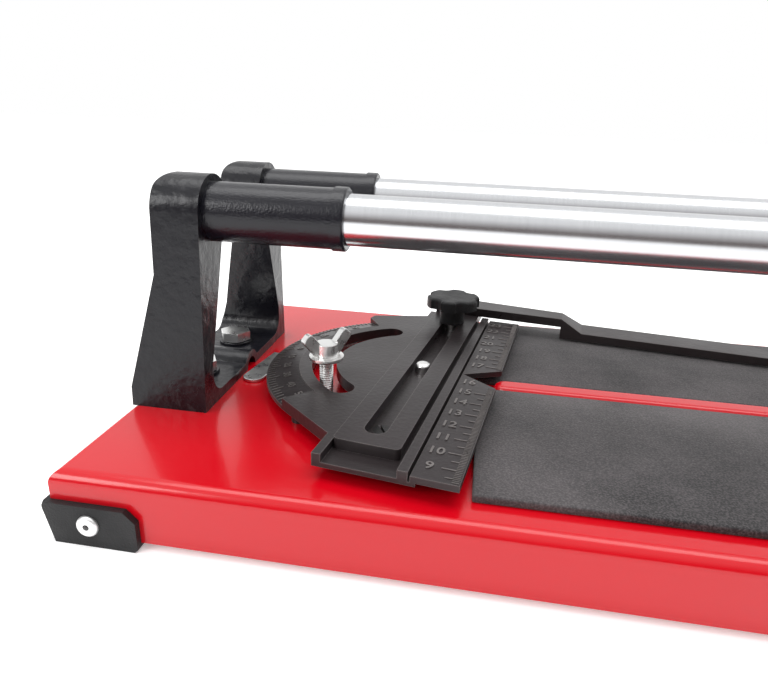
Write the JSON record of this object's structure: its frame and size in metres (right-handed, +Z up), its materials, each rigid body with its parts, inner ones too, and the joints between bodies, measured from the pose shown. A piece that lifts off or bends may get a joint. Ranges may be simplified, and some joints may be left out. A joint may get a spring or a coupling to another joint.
{
  "type": "manual tile cutter",
  "caption": "Manual tile cutter with a folded red base, chromed guide rails, a swivelling fence gauge, and a sliding carriage with scoring wheel and breaker lever.",
  "frame": {"origin": "centre of the footprint at the surface the cutter stands on", "axes": "+X along the rails away from the gauge, +Y to the rear, +Z up"},
  "size_m": [0.7836, 0.2076, 0.1916],
  "materials": {
    "base_paint": "gloss",
    "foam_pad": "matt",
    "foot_plastic": "matt",
    "rivet_metal": "satin",
    "black_casting": "satin",
    "zinc_plate": "satin",
    "rail_chrome": "polished",
    "sleeve_plastic": "satin",
    "gauge_casting": "blackened, satin",
    "knob_plastic": "matt",
    "brass_insert": "plain",
    "carriage_casting": "satin",
    "bush_nylon": "matt",
    "grip_rubber": "matt",
    "carbide": "ground"
  },
  "bodies": {
    "base": {"base_tray": "base_paint", "breaker_rib": "base_paint", "front_pad": "foam_pad", "rear_pad": "foam_pad", "corner_feet": "foot_plastic", "foot_rivets": "rivet_metal", "left_rail_bracket": "black_casting", "right_rail_bracket": "black_casting", "bracket_bolts": "zinc_plate", "bracket_washers": "zinc_plate", "bracket_nuts": "zinc_plate", "front_rail": "rail_chrome", "rear_rail": "rail_chrome", "stop_sleeves": "sleeve_plastic", "pivot_bolt": "zinc_plate", "pivot_nut": "zinc_plate", "clamp_stud": "zinc_plate", "angle_pointer": "zinc_plate"},
    "gauge": {"protractor_gauge": "gauge_casting", "channel_screw": "zinc_plate", "fence_clamp_bolt": "zinc_plate"},
    "wing_nut": {"wing_nut": "zinc_plate"},
    "fence": {"fence_slider": "gauge_casting", "fence_bar": "gauge_casting", "fence_screws": "zinc_plate"},
    "knob": {"clamp_knob": "knob_plastic", "knob_insert": "brass_insert"},
    "carriage": {"carriage_block": "carriage_casting", "rail_bushes": "bush_nylon", "lever_pin": "zinc_plate", "lever_pin_clips": "zinc_plate"},
    "lever": {"lever_arm": "carriage_casting", "handle_tube": "rail_chrome", "handle_pin": "zinc_plate", "handle_grip": "grip_rubber", "wheel_axle": "zinc_plate", "wheel_axle_nut": "zinc_plate", "foot_pin": "zinc_plate", "foot_pin_clips": "zinc_plate"},
    "scoring_wheel": {"scoring_wheel": "carbide"},
    "breaker_foot": {"breaker_foot": "carriage_casting", "breaker_pads": "grip_rubber"}
  },
  "joints": [
    {"name": "gauge_swing", "type": "hinge", "parent": "base", "child": "gauge", "pos_m": [-0.2769, 0, 0.0301], "axis": [0, 0, 1], "range_deg": [-23, 50]},
    {"name": "wing_nut_turn", "type": "hinge", "parent": "base", "child": "wing_nut", "pos_m": [-0.31645, -0.01929, 0.042], "axis": [0, 0, 1], "continuous": true},
    {"name": "fence_slide", "type": "slide", "parent": "gauge", "child": "fence", "axis": [0.1478, 0.989, 0], "range_m": [-0.007, 0.057]},
    {"name": "clamp_knob_turn", "type": "hinge", "parent": "gauge", "child": "knob", "pos_m": [-0.26788, 0.06033, 0.0405], "axis": [0, 0, 1], "continuous": true},
    {"name": "carriage_slide", "type": "slide", "parent": "base", "child": "carriage", "axis": [1, 0, 0], "range_m": [-0.3926, 0.1326]},
    {"name": "lever_swing", "type": "hinge", "parent": "carriage", "child": "lever", "pos_m": [0.13, 0, 0.126], "axis": [0, -1, 0], "range_deg": [0, 35]},
    {"name": "wheel_spin", "type": "hinge", "parent": "lever", "child": "scoring_wheel", "pos_m": [0.0759, 0, 0.0622], "axis": [0, 1, 0], "continuous": true},
    {"name": "breaker_foot_tilt", "type": "hinge", "parent": "lever", "child": "breaker_foot", "pos_m": [0.156, 0, 0.056], "axis": [0, 1, 0], "range_deg": [-5, 35]}
  ]
}
